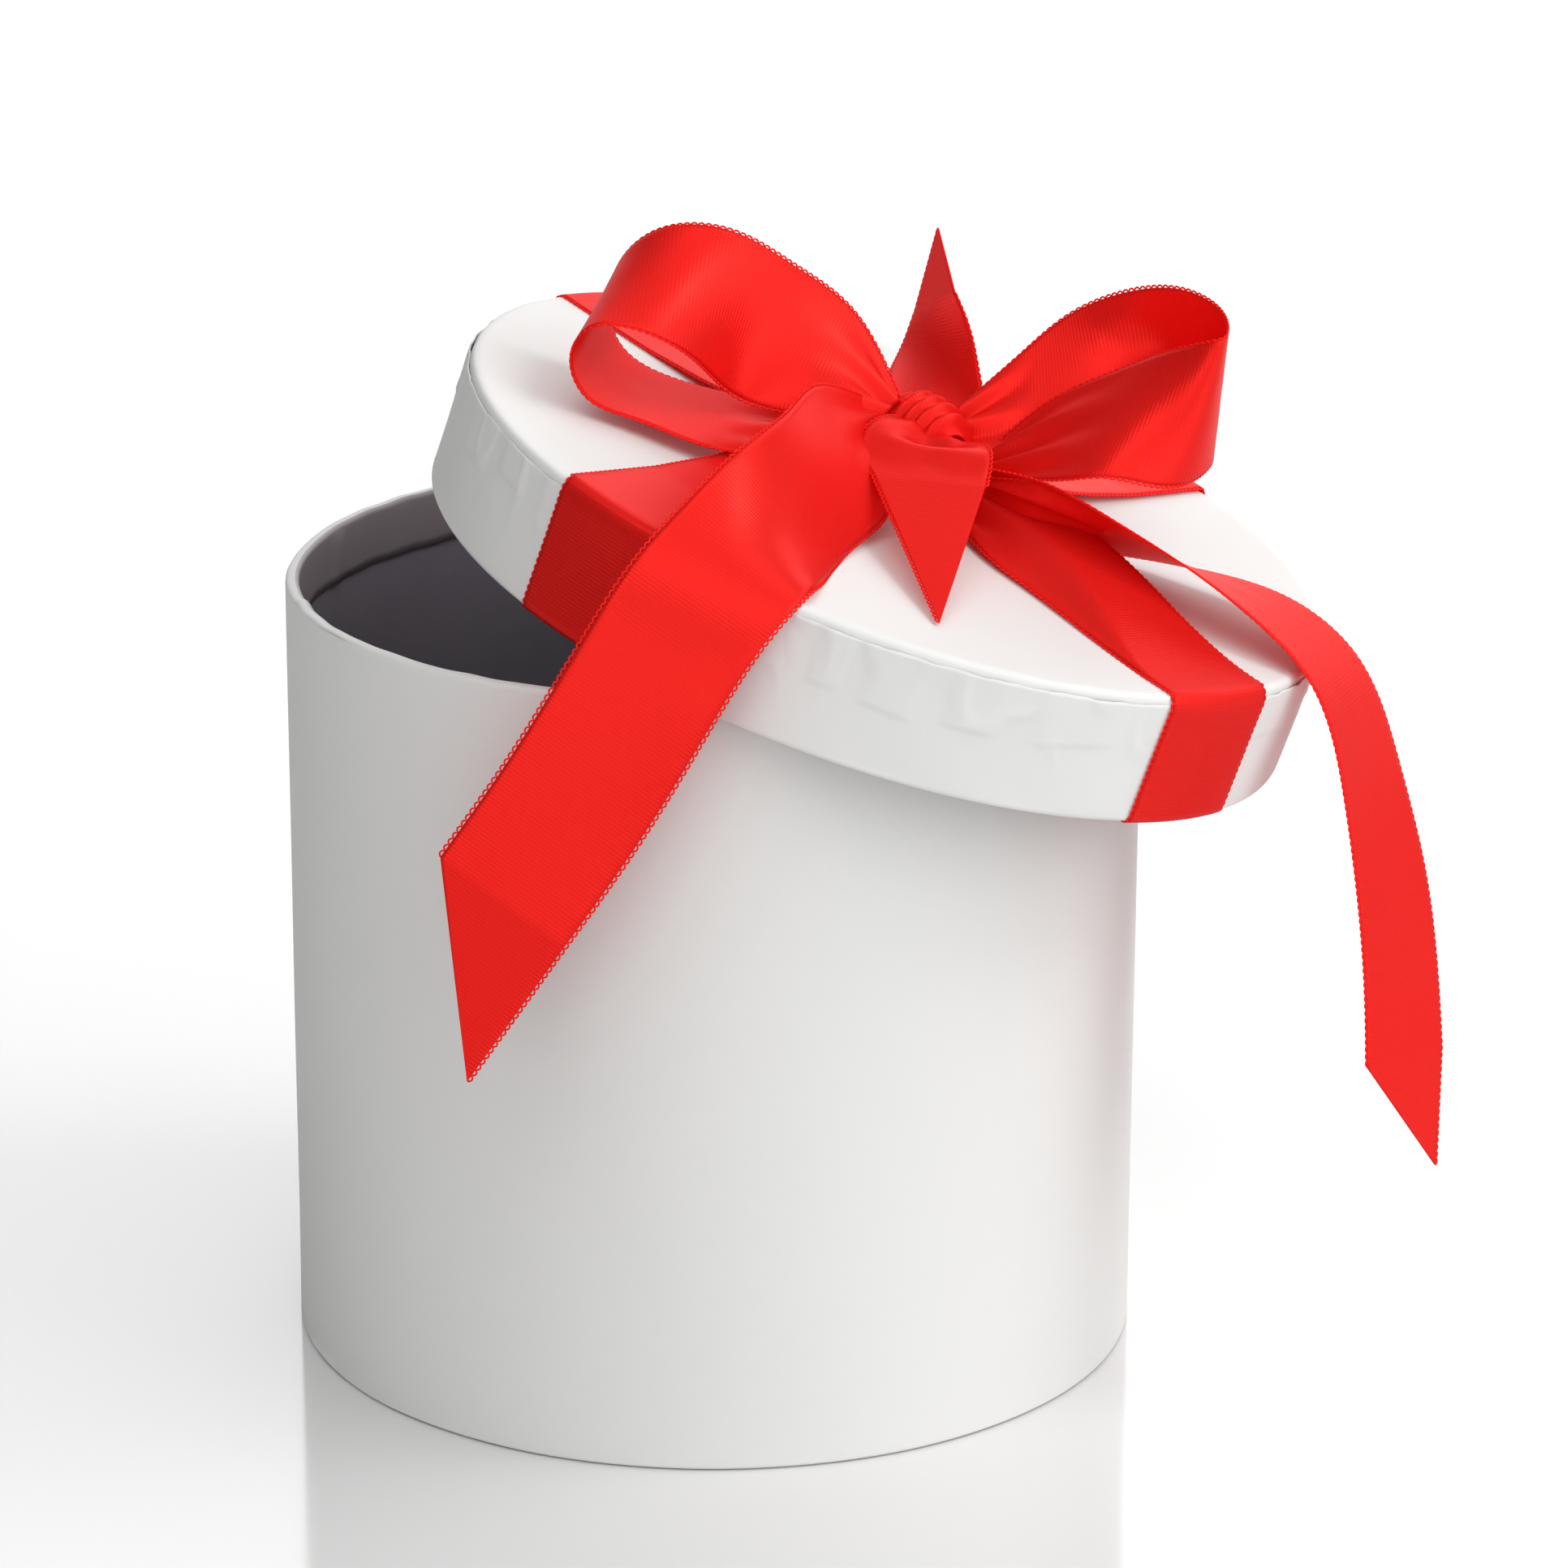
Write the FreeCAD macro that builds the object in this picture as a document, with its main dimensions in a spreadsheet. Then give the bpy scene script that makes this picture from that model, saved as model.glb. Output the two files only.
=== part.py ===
import FreeCAD, Part
import math
import os

import Sketcher
from FreeCAD import Placement, Rotation, Vector

# Round flower box with a lift-off lid, in millimetres.
# Row frame: origin at the centre of the base, on the surface the box stands on; +Z up, front towards -Y.
# The lid lies ajar across the rim, its left side up.
# Lid pieces are drawn in the lid's own frame and then placed.

DIMENSIONS = {
    # box
    "box_radius": 75.0,
    "box_height": 138.0,
    "wall_board": 2.0,
    "base_board": 2.0,
    "paper": 0.2,
    "edge_ease": 0.8,
    "rim_turn_in": 10.0,
    "foot_turn_under": 10.0,
    "foot_inset": 1.0,
    "liner_gap": 0.2,
    # lid
    "lid_radius": 78.0,
    "lid_height": 23.4,
    "panel_board": 1.7,
    "band_board": 1.2,
    "top_tab": 12.0,
    "band_turn_in": 10.0,
    "band_top_gap": 1.4,
    # how the lid lies on the rim
    "lid_tilt": 18.87,
    "lid_over_x": 25.43,
    "lid_over_z": 133.05,
    # ribbon
    "ribbon_width": 25.0,
    "ribbon_body": 0.6,
    "strap_turn_in": 13.0,
    "strap_a_angle": 147.5,
    "strap_b_angle": 61.5,
    "knot_radius": 8.0,
    "knot_length": 15.0,
    "knot_round": 3.0,
    "core_radius": 3.5,
    "core_length": 22.0,
    "knot_height": 9.0,
}

RIBBON_STEPS = 4  # sections to each span of a ribbon

doc = FreeCAD.newDocument("flower_box")
sheet = doc.addObject("Spreadsheet::Sheet", "sizes")
for row, (alias, value) in enumerate(DIMENSIONS.items(), start=1):
    sheet.set("A%d" % row, alias)
    sheet.set("B%d" % row, str(value))
    sheet.setAlias("B%d" % row, alias)
doc.recompute()


def size(alias):
    """One driving dimension, read back from the sheet."""
    return float(getattr(sheet, alias))


def origin_plane(body, role):
    """A body's own origin plane, found by its role."""
    return next(item for item in body.Origin.OriginFeatures if item.Role == role)


def bind_point(sketch, geo, axis, text):
    """Tie the start of one sketch line to the sheet: axis X is the radius, axis Y is the height."""
    if text == "0":
        sketch.addConstraint(Sketcher.Constraint("PointOnObject", geo, 1, -2 if axis == "X" else -1))
        return
    start = sketch.Geometry[geo].StartPoint
    value = start.x if axis == "X" else start.y
    index = sketch.addConstraint(Sketcher.Constraint("Distance" + axis, -1, 1, geo, 1, value))
    sketch.setExpression("Constraints[%d]" % index, text)


def sheet_value(text):
    """What an expression over the sheet comes to, for a sketch line's first position."""
    probe = doc.addObject("App::FeaturePython", "probe")
    probe.addProperty("App::PropertyFloat", "value")
    probe.setExpression("value", text)
    doc.recompute()
    value = probe.value
    doc.removeObject(probe.Name)
    return value


def turned(name, profile):
    """A body of revolution about Z; profile is a closed outline of (radius, height) expressions."""
    body = doc.addObject("PartDesign::Body", name)
    body.Label = name
    sketch = body.newObject("Sketcher::SketchObject", name + "_profile")
    sketch.AttachmentSupport = [(origin_plane(body, "XZ_Plane"), "")]
    sketch.MapMode = "FlatFace"
    texts = [tuple(text.replace("$", "sizes.") for text in point) for point in profile]
    corners = [Vector(sheet_value(across), sheet_value(up), 0) for across, up in texts]
    count = len(corners)
    for index in range(count):
        sketch.addGeometry(Part.LineSegment(corners[index], corners[(index + 1) % count]))
    for index in range(count):
        following = (index + 1) % count
        sketch.addConstraint(Sketcher.Constraint("Coincident", index, 2, following, 1))
    for index, (across, up) in enumerate(texts):
        bind_point(sketch, index, "X", across)
        bind_point(sketch, index, "Y", up)
    turn = body.newObject("PartDesign::Revolution", name + "_turn")
    turn.Profile = sketch
    turn.ReferenceAxis = (sketch, ["V_Axis"])
    turn.Angle = 360.0
    doc.recompute()
    return body


def keep_strip(body, width_alias):
    """Cut a turned shell down to one straight strip along X, as wide as the ribbon."""
    sketch = body.newObject("Sketcher::SketchObject", body.Name + "_sides")
    sketch.AttachmentSupport = [(origin_plane(body, "XY_Plane"), "")]
    sketch.MapMode = "FlatFace"
    far = 2 * size("lid_radius")
    for side in (1, -1):
        near = side * size(width_alias) / 2
        corners = [
            Vector(-far, near, 0),
            Vector(far, near, 0),
            Vector(far, side * far, 0),
            Vector(-far, side * far, 0),
        ]
        first = sketch.GeometryCount
        for index in range(4):
            sketch.addGeometry(Part.LineSegment(corners[index], corners[(index + 1) % 4]))
        for index in range(4):
            following = first + (index + 1) % 4
            sketch.addConstraint(Sketcher.Constraint("Coincident", first + index, 2, following, 1))
        sketch.addConstraint(Sketcher.Constraint("Horizontal", first))
        datum = sketch.addConstraint(Sketcher.Constraint("DistanceY", -1, 1, first, 1, near))
        sketch.setExpression("Constraints[%d]" % datum, "%s.%s * %s" % (sheet.Name, width_alias, side / 2))
    cut = body.newObject("PartDesign::Pocket", body.Name + "_trim")
    cut.Profile = sketch
    cut.Type = "ThroughAll"
    cut.Midplane = True
    doc.recompute()
    return body


def edge_curve(points, spacing):
    """A smooth curve through one edge's points, at the given parameters."""
    curve = Part.BSplineCurve()
    curve.interpolate(Points=points, Parameters=spacing)
    return curve


def section(first, second, along):
    """The closed outline of a ribbon between its two edges, square to its run."""
    half_body = (second - first).cross(along).normalize() * (size("ribbon_body") / 2)
    corners = [first - half_body, second - half_body, second + half_body, first + half_body]
    return Part.makePolygon(corners + corners[:1])


def ribbon(name, stations, tip=None):
    """A flat ribbon through stations (centre, direction across, width), in the lid top's frame.

    A tip makes a slanting cut: both edges run straight from the last station to that point.
    """
    centres = [Vector(*centre) for centre, _, _ in stations]
    halves = [Vector(*across).normalize() * (width / 2) for _, across, width in stations]
    spacing = [0.0]
    for before, after in zip(centres, centres[1:]):
        spacing.append(spacing[-1] + (after - before).Length)
    first_edge = edge_curve([centre - half for centre, half in zip(centres, halves)], spacing)
    second_edge = edge_curve([centre + half for centre, half in zip(centres, halves)], spacing)
    sections = []
    for start, end in zip(spacing, spacing[1:]):
        for step in range(RIBBON_STEPS):
            place = start + (end - start) * step / RIBBON_STEPS
            along = first_edge.tangent(place)[0] + second_edge.tangent(place)[0]
            sections.append(section(first_edge.value(place), second_edge.value(place), along))
    along = first_edge.tangent(spacing[-1])[0] + second_edge.tangent(spacing[-1])[0]
    last_first = first_edge.value(spacing[-1])
    last_second = second_edge.value(spacing[-1])
    sections.append(section(last_first, last_second, along))
    if tip:
        point = Vector(*tip)
        sliver = (last_second - last_first).normalize() * size("ribbon_body")
        sections.append(section(point - sliver, point, along))
    piece = doc.addObject("Part::Feature", name)
    piece.Label = name
    piece.Shape = Part.makeLoft(sections, True, True)
    return piece


def rim_to_lid(text):
    """Radius expressions inside the lid's skin, counted from its outside."""
    return "$lid_radius - " + text


# --- the box ----------------------------------------------------------------------------------------------

BOARD_IN = "$box_radius - $paper - $wall_board"
BOARD_OUT = "$box_radius - $paper"
PAPER_IN = "$box_radius - 2 * $paper - $wall_board"

turned("box_wall", [
    (BOARD_IN, "2 * $paper"),
    (BOARD_OUT, "2 * $paper"),
    (BOARD_OUT, "$box_height - $paper - $edge_ease"),
    (BOARD_OUT + " - $edge_ease", "$box_height - $paper"),
    (BOARD_IN + " + $edge_ease", "$box_height - $paper"),
    (BOARD_IN, "$box_height - $paper - $edge_ease"),
])
turned("box_base", [
    ("0", "2 * $paper"),
    (BOARD_IN, "2 * $paper"),
    (BOARD_IN, "2 * $paper + $base_board"),
    ("0", "2 * $paper + $base_board"),
])
turned("box_cover_paper", [
    ("$box_radius - $foot_turn_under", "$paper"),
    ("$box_radius", "$paper"),
    ("$box_radius", "$box_height - $paper - $edge_ease"),
    (BOARD_OUT + " - $edge_ease", "$box_height"),
    (BOARD_IN + " + $edge_ease", "$box_height"),
    (PAPER_IN, "$box_height - $paper - $edge_ease"),
    (PAPER_IN, "$box_height - $rim_turn_in"),
    (BOARD_IN, "$box_height - $rim_turn_in"),
    (BOARD_IN, "$box_height - $paper - $edge_ease"),
    (BOARD_IN + " + $edge_ease", "$box_height - $paper"),
    (BOARD_OUT + " - $edge_ease", "$box_height - $paper"),
    (BOARD_OUT, "$box_height - $paper - $edge_ease"),
    (BOARD_OUT, "2 * $paper"),
    ("$box_radius - $foot_turn_under", "2 * $paper"),
])
turned("box_base_paper", [
    ("0", "0"),
    ("$box_radius - $foot_inset", "0"),
    ("$box_radius - $foot_inset", "$paper"),
    ("0", "$paper"),
])
turned("box_floor_liner", [
    ("0", "2 * $paper + $base_board"),
    (BOARD_IN + " - $liner_gap", "2 * $paper + $base_board"),
    (BOARD_IN + " - $liner_gap", "3 * $paper + $base_board"),
    ("0", "3 * $paper + $base_board"),
])

# --- the lid, drawn with its skirt's edge at height 0 -----------------------------------------------------

BAND_OUT = rim_to_lid("2 * $paper")
BAND_IN = rim_to_lid("2 * $paper - $band_board")
FOLD_IN = rim_to_lid("3 * $paper - $band_board")
TAB_OUT = rim_to_lid("$paper")
PANEL_TOP = "$lid_height - $paper"
PANEL_UNDER = "$lid_height - $paper - $panel_board"

lid_pieces = [
    turned("lid_panel", [
        ("0", PANEL_UNDER),
        (BAND_IN, PANEL_UNDER),
        (BAND_IN, PANEL_TOP),
        ("0", PANEL_TOP),
    ]),
    turned("lid_band", [
        (BAND_IN, "$paper"),
        (BAND_OUT, "$paper"),
        (BAND_OUT, PANEL_TOP + " - $edge_ease"),
        (BAND_OUT + " - $edge_ease", PANEL_TOP),
        (BAND_IN, PANEL_TOP),
    ]),
    turned("lid_top_paper", [
        ("0", PANEL_TOP),
        (BAND_OUT + " - $edge_ease", PANEL_TOP),
        (BAND_OUT, PANEL_TOP + " - $edge_ease"),
        (BAND_OUT, "$lid_height - $top_tab"),
        (TAB_OUT, "$lid_height - $top_tab"),
        (TAB_OUT, PANEL_TOP + " - $edge_ease"),
        (BAND_OUT + " - $edge_ease", "$lid_height"),
        ("0", "$lid_height"),
    ]),
    turned("lid_band_paper", [
        (FOLD_IN, "0"),
        ("$lid_radius", "0"),
        ("$lid_radius", "$lid_height - $band_top_gap"),
        (TAB_OUT, "$lid_height - $band_top_gap"),
        (TAB_OUT, "$paper"),
        (BAND_IN, "$paper"),
        (BAND_IN, "$band_turn_in"),
        (FOLD_IN, "$band_turn_in"),
    ]),
    turned("lid_liner", [
        ("0", PANEL_UNDER + " - $paper"),
        (BAND_IN + " - $liner_gap", PANEL_UNDER + " - $paper"),
        (BAND_IN + " - $liner_gap", PANEL_UNDER),
        ("0", PANEL_UNDER),
    ]),
]

# --- two straps over the lid, turned in under the skirt ---------------------------------------------------

STRAP_OUT = "$lid_radius + $ribbon_body"
STRAP_IN = FOLD_IN + " - $ribbon_body"


def strap(name, lift):
    """A ribbon laid over the top, down the skirt and in under its edge; lift raises the upper one."""
    body = turned(name, [
        ("0", "$lid_height" + lift),
        ("$lid_radius", "$lid_height" + lift),
        ("$lid_radius", "0"),
        (FOLD_IN, "0"),
        (FOLD_IN, "$strap_turn_in"),
        (STRAP_IN, "$strap_turn_in"),
        (STRAP_IN, "-1 * $ribbon_body"),
        (STRAP_OUT, "-1 * $ribbon_body"),
        (STRAP_OUT, "$lid_height + $ribbon_body" + lift),
        ("0", "$lid_height + $ribbon_body" + lift),
    ])
    return keep_strip(body, "ribbon_width")


straps = [
    (strap("strap_a", ""), size("strap_a_angle")),
    (strap("strap_b", " + $ribbon_body"), size("strap_b_angle")),
]

# --- the bow, in the frame of the lid's top: (centre, direction across, width) ----------------------------

WIDE = size("ribbon_width")

bow_pieces = [
    ribbon("bow_loop_left", [
        ((-6, -2, 13), (-0.1, -1, -0.1), 10),
        ((-18, -3, 17), (0, -0.8, -0.6), 23),
        ((-30, -6, 19), (0, -0.5, -0.85), WIDE),
        ((-41, -14, 24), (0.2, -0.65, -0.75), WIDE),
        ((-50, -18, 24), (0.25, -0.85, -0.45), WIDE),
        ((-57, -18, 19), (0.1, -0.97, -0.2), WIDE),
        ((-58, -17, 11), (0, -1, -0.2), WIDE),
        ((-53, -16, 5), (0, -1, -0.2), WIDE),
        ((-44, -15, 4), (0, -1, -0.15), WIDE),
        ((-32, -15, 5), (0.1, -1, -0.2), WIDE),
        ((-20, -11, 7), (0.2, -0.96, -0.15), 18),
        ((-8, -6, 9), (0, -1, -0.1), 9),
    ]),
    ribbon("bow_loop_right", [
        ((5, 4, 12), (0.2, -0.8, -0.5), 9),
        ((14, 7, 18.5), (0.3, -0.75, -0.55), 23),
        ((25, 14, 29), (0.5, -0.6, -0.6), WIDE),
        ((36, 16, 35), (0.4, 0.1, -0.9), WIDE),
        ((43, 9, 36), (0.25, 0, -1), WIDE),
        ((45.5, -2, 35), (0.2, -0.1, -1), WIDE),
        ((42.5, -10, 33.5), (0.1, -0.4, -0.9), WIDE),
        ((35, -11, 31), (0, -0.65, -0.75), WIDE),
        ((28, -8, 25.5), (0, -0.78, -0.62), 24),
        ((20, -4, 18), (0.15, -0.85, -0.5), 18),
        ((13, -3, 10), (0.3, -0.95, -0.1), 9),
    ]),
    ribbon("bow_tail_front", [
        ((-6, -4, 10.5), (0.4, -0.85, -0.3), 10),
        ((-8, -24, 11), (0.75, -0.2, -0.6), 24),
        ((-10, -44, 10), (0.7, 0, -0.7), WIDE),
        ((-13, -64, 7), (0.85, -0.05, -0.5), WIDE),
        ((-15, -73, 4), (0.96, -0.15, -0.22), WIDE),
        ((-18, -81, -3), (0.96, -0.12, -0.2), WIDE),
        ((-22, -88, -21), (0.96, -0.05, -0.23), WIDE),
        ((-26, -92, -41), (0.96, 0, -0.25), WIDE),
        ((-31, -95.5, -60), (0.96, 0, -0.27), WIDE),
    ], tip=(-26.5, -97, -91.5)),
    ribbon("bow_tail_right", [
        ((13, -4, 7), (0, -0.6, 0.8), 9),
        ((23, -9, 7.8), (0, -0.6, 0.8), 16),
        ((38, -8, 8.6), (-0.05, -0.82, 0.56), WIDE),
        ((53, -6, 8), (-0.05, -0.94, 0.35), WIDE),
        ((67, -6, 6), (-0.1, -0.99, 0.1), WIDE),
        ((80.5, -7.6, 0.5), (-0.18, -0.98, 0), WIDE),
        ((94, -10, -15), (-0.26, -0.96, -0.05), WIDE),
        ((104, -12, -31), (-0.36, -0.93, -0.05), WIDE),
        ((113, -14, -49), (-0.43, -0.9, 0), WIDE),
        ((117, -16, -58), (-0.45, -0.89, 0), WIDE),
    ], tip=(129.5, -9, -77.5)),
    ribbon("tie_end_back", [
        ((0, 7, 10), (0.9, -0.35, 0.25), 14),
        ((-1, 15, 12.5), (0.85, -0.45, 0.3), 20),
        ((-3, 22, 15), (0.65, -0.65, 0.4), 24),
        ((-5.5, 29, 19), (0.45, -0.75, 0.5), WIDE),
        ((-8, 33, 23.5), (0.3, -0.82, 0.48), 23),
    ], tip=(-12.4, 39, 34.5)),
    ribbon("tie_end_front", [
        ((1, -4.5, 12.5), (0.95, -0.1, -0.1), 9),
        ((2, -9.5, 14.3), (0.97, 0.05, 0.1), 17),
        ((2.6, -15.5, 13.8), (0.97, 0, 0.22), 22),
        ((3.8, -20, 12), (0.97, -0.03, 0.23), 22),
        ((6, -25, 10.8), (0.96, 0.08, 0.26), 19),
    ], tip=(18, -61, 1)),
]

# --- the knot that gathers the bow, and the gathered ribbon inside it -------------------------------------

tie_knot = turned("tie_knot", [
    ("$core_radius", "-0.5 * $knot_length"),
    ("$knot_radius - $knot_round", "-0.5 * $knot_length"),
    ("$knot_radius", "-0.5 * $knot_length + $knot_round"),
    ("$knot_radius", "0.5 * $knot_length - $knot_round"),
    ("$knot_radius - $knot_round", "0.5 * $knot_length"),
    ("$core_radius", "0.5 * $knot_length"),
])

bow_centre = doc.addObject("Part::Cylinder", "bow_centre")
bow_centre.Label = "bow_centre"
bow_centre.setExpression("Radius", "sizes.core_radius")
bow_centre.setExpression("Height", "sizes.core_length")

# --- where everything on the lid lies ---------------------------------------------------------------------

lid_place = Placement(
    Vector(size("lid_over_x"), 0, size("lid_over_z")),
    Rotation(Vector(0, 1, 0), size("lid_tilt")),
)
lid_top = lid_place.multiply(Placement(Vector(0, 0, size("lid_height")), Rotation()))
AXIS_ACROSS = Rotation(Vector(0, 1, 0), 90)

for piece in lid_pieces:
    piece.Placement = lid_place
for piece, angle in straps:
    piece.Placement = lid_place.multiply(Placement(Vector(), Rotation(Vector(0, 0, 1), angle)))
for piece in bow_pieces:
    piece.Placement = lid_top
tie_knot.Placement = lid_top.multiply(Placement(Vector(0, 0, size("knot_height")), AXIS_ACROSS))
core_start = Vector(-size("core_length") / 2, 0, size("knot_height"))
bow_centre.Placement = lid_top.multiply(Placement(core_start, AXIS_ACROSS))

# --- check and write --------------------------------------------------------------------------------------

NODES = [
    "box_wall", "box_base", "box_cover_paper", "box_base_paper", "box_floor_liner",
    "lid_panel", "lid_band", "lid_top_paper", "lid_band_paper", "lid_liner",
    "strap_a", "strap_b",
    "bow_loop_left", "bow_loop_right", "bow_tail_front", "bow_tail_right", "bow_centre",
    "tie_knot", "tie_end_front", "tie_end_back",
]

doc.recompute()
for item in doc.Objects:
    if "Invalid" in item.State or "Error" in item.State:
        raise RuntimeError(item.Name + " failed: " + str(item.State))

os.makedirs("parts", exist_ok=True)
for node in NODES:
    shape = doc.getObject(node).Shape
    if shape.isNull() or not shape.isValid() or shape.Volume <= 0:
        raise RuntimeError(node + " has no valid solid")
    shape.exportStep("parts/" + node + ".step")
    print("%-16s %10.1f mm3" % (node, shape.Volume))
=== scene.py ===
import math

import bpy
import numpy as np
from mathutils import Matrix, Vector, noise


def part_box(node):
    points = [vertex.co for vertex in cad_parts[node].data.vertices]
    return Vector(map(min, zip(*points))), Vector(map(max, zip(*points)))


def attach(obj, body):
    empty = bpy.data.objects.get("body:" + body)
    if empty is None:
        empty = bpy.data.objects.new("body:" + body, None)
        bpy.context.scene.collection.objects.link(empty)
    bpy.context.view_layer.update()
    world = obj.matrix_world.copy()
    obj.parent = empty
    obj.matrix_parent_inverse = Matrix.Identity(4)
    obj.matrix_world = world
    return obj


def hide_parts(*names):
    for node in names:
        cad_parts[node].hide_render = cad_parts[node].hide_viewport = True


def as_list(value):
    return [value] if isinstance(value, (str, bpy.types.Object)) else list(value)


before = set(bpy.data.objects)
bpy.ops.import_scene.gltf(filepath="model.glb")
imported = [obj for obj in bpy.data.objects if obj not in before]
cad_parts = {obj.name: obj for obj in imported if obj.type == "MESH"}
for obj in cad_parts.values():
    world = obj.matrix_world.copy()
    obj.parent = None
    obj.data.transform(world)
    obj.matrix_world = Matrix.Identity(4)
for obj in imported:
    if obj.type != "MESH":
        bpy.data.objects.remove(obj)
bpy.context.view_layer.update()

# The flower box: a white paper-covered tube with its lid lying ajar, and a red satin bow tied on
# the lid. Places on the lid are given in millimetres in the frame of the lid's top: u to the right
# and down the slope, v to the back, n out of the lid.

MM = 0.001
LID_TILT = math.radians(18.87)
LID_U = np.array([math.cos(LID_TILT), 0, -math.sin(LID_TILT)])
LID_V = np.array([0.0, 1.0, 0.0])
LID_N = np.array([math.sin(LID_TILT), 0, math.cos(LID_TILT)])

# sizes in millimetres
LID_RADIUS = 78.0
LID_HEIGHT = 23.4
LID_PANEL_BOARD = 1.7
LID_BAND_BOARD = 1.2
BOX_RADIUS = 75.0
BOX_HEIGHT = 138.0
BOX_BOARD = 2.0
PAPER = 0.2
RIBBON_WIDTH = 25.0
RIBBON_THICK = 0.34

panel_low, panel_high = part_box("lid_panel")
panel_centre = np.array((panel_low + panel_high) / 2)
LID_TOP = panel_centre + LID_N * (LID_PANEL_BOARD / 2 + PAPER) * MM


def from_lid(points):
    """Points in the lid-top frame, in mm, to the object's frame, in metres."""
    points = np.asarray(points, float)
    away = points[..., :1] * LID_U + points[..., 1:2] * LID_V + points[..., 2:3] * LID_N
    return LID_TOP + away * MM


def from_box(points):
    """Points in mm from the centre of the base to the object's frame, in metres."""
    return points * MM


def unit(vectors):
    return vectors / np.maximum(np.linalg.norm(vectors, axis=-1, keepdims=True), 1e-12)


def smoothstep(low, high, value):
    share = np.clip((value - low) / (high - low), 0, 1)
    return share * share * (3 - 2 * share)


def travelled(points):
    """How far along the line each of its points is."""
    steps = np.linalg.norm(np.diff(points, axis=0), axis=1)
    return np.concatenate([[0], np.cumsum(steps)])


def resampled(points, travel, places):
    """The points at the given places along a line of straight runs."""
    return np.stack([np.interp(places, travel, column) for column in points.T], 1)


# --- materials ---------------------------------------------------------------------------------


class Nodes:
    """Short calls for building one material's node tree."""

    def __init__(self, name):
        self.material = bpy.data.materials.new(name)
        self.material.use_nodes = True
        self.tree = self.material.node_tree
        self.tree.nodes.clear()

    def add(self, kind, **settings):
        node = self.tree.nodes.new(kind)
        for key, value in settings.items():
            setattr(node, key, value)
        return node

    def feed(self, socket, value):
        if isinstance(value, bpy.types.NodeSocket):
            self.tree.links.new(value, socket)
        else:
            socket.default_value = value

    def math(self, operation, first, second=0.0, third=None):
        node = self.add("ShaderNodeMath", operation=operation)
        self.feed(node.inputs[0], first)
        self.feed(node.inputs[1], second)
        if third is not None:
            self.feed(node.inputs[2], third)
        return node.outputs[0]

    def coords(self, kind, scale=(1, 1, 1)):
        source = self.add("ShaderNodeTexCoord")
        mapping = self.add("ShaderNodeMapping")
        self.feed(mapping.inputs["Vector"], source.outputs[kind])
        mapping.inputs["Scale"].default_value = scale
        return mapping.outputs["Vector"]

    def noise(self, vector, scale, detail=2.0, roughness=0.5):
        node = self.add("ShaderNodeTexNoise")
        self.feed(node.inputs["Vector"], vector)
        node.inputs["Scale"].default_value = scale
        node.inputs["Detail"].default_value = detail
        node.inputs["Roughness"].default_value = roughness
        return node.outputs["Fac"]

    def fade_in(self, value, start, end, share):
        """Nothing up to start, rising to share at end."""
        node = self.add("ShaderNodeValToRGB")
        self.feed(node.inputs["Fac"], value)
        stops = zip(node.color_ramp.elements, (start, end), (0, share))
        for element, place, level in stops:
            element.position = place
            element.color = (level, level, level, 1)
        return node.outputs["Color"]

    def mix(self, share, first, second):
        node = self.add("ShaderNodeMix", data_type="RGBA", blend_type="MIX")
        self.feed(node.inputs[0], share)
        self.feed(node.inputs[6], first)
        self.feed(node.inputs[7], second)
        return node.outputs[2]

    def bump(self, height, distance, strength=1.0, normal=None):
        node = self.add("ShaderNodeBump")
        self.feed(node.inputs["Height"], height)
        node.inputs["Distance"].default_value = distance
        node.inputs["Strength"].default_value = strength
        if normal is not None:
            self.feed(node.inputs["Normal"], normal)
        return node.outputs["Normal"]

    def finish(self, surface):
        output = self.add("ShaderNodeOutputMaterial")
        self.feed(output.inputs["Surface"], surface)
        return self.material


SATIN_RED = (0.98, 0.031, 0.025)
SATIN_DEEP = (0.90, 0.015, 0.013)
SATIN_GLINT = (1.0, 0.26, 0.20, 1)
WEFT_PITCH = 0.66
FIRM_EDGE = 1.1
SHOW_THROUGH = 0.36


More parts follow.
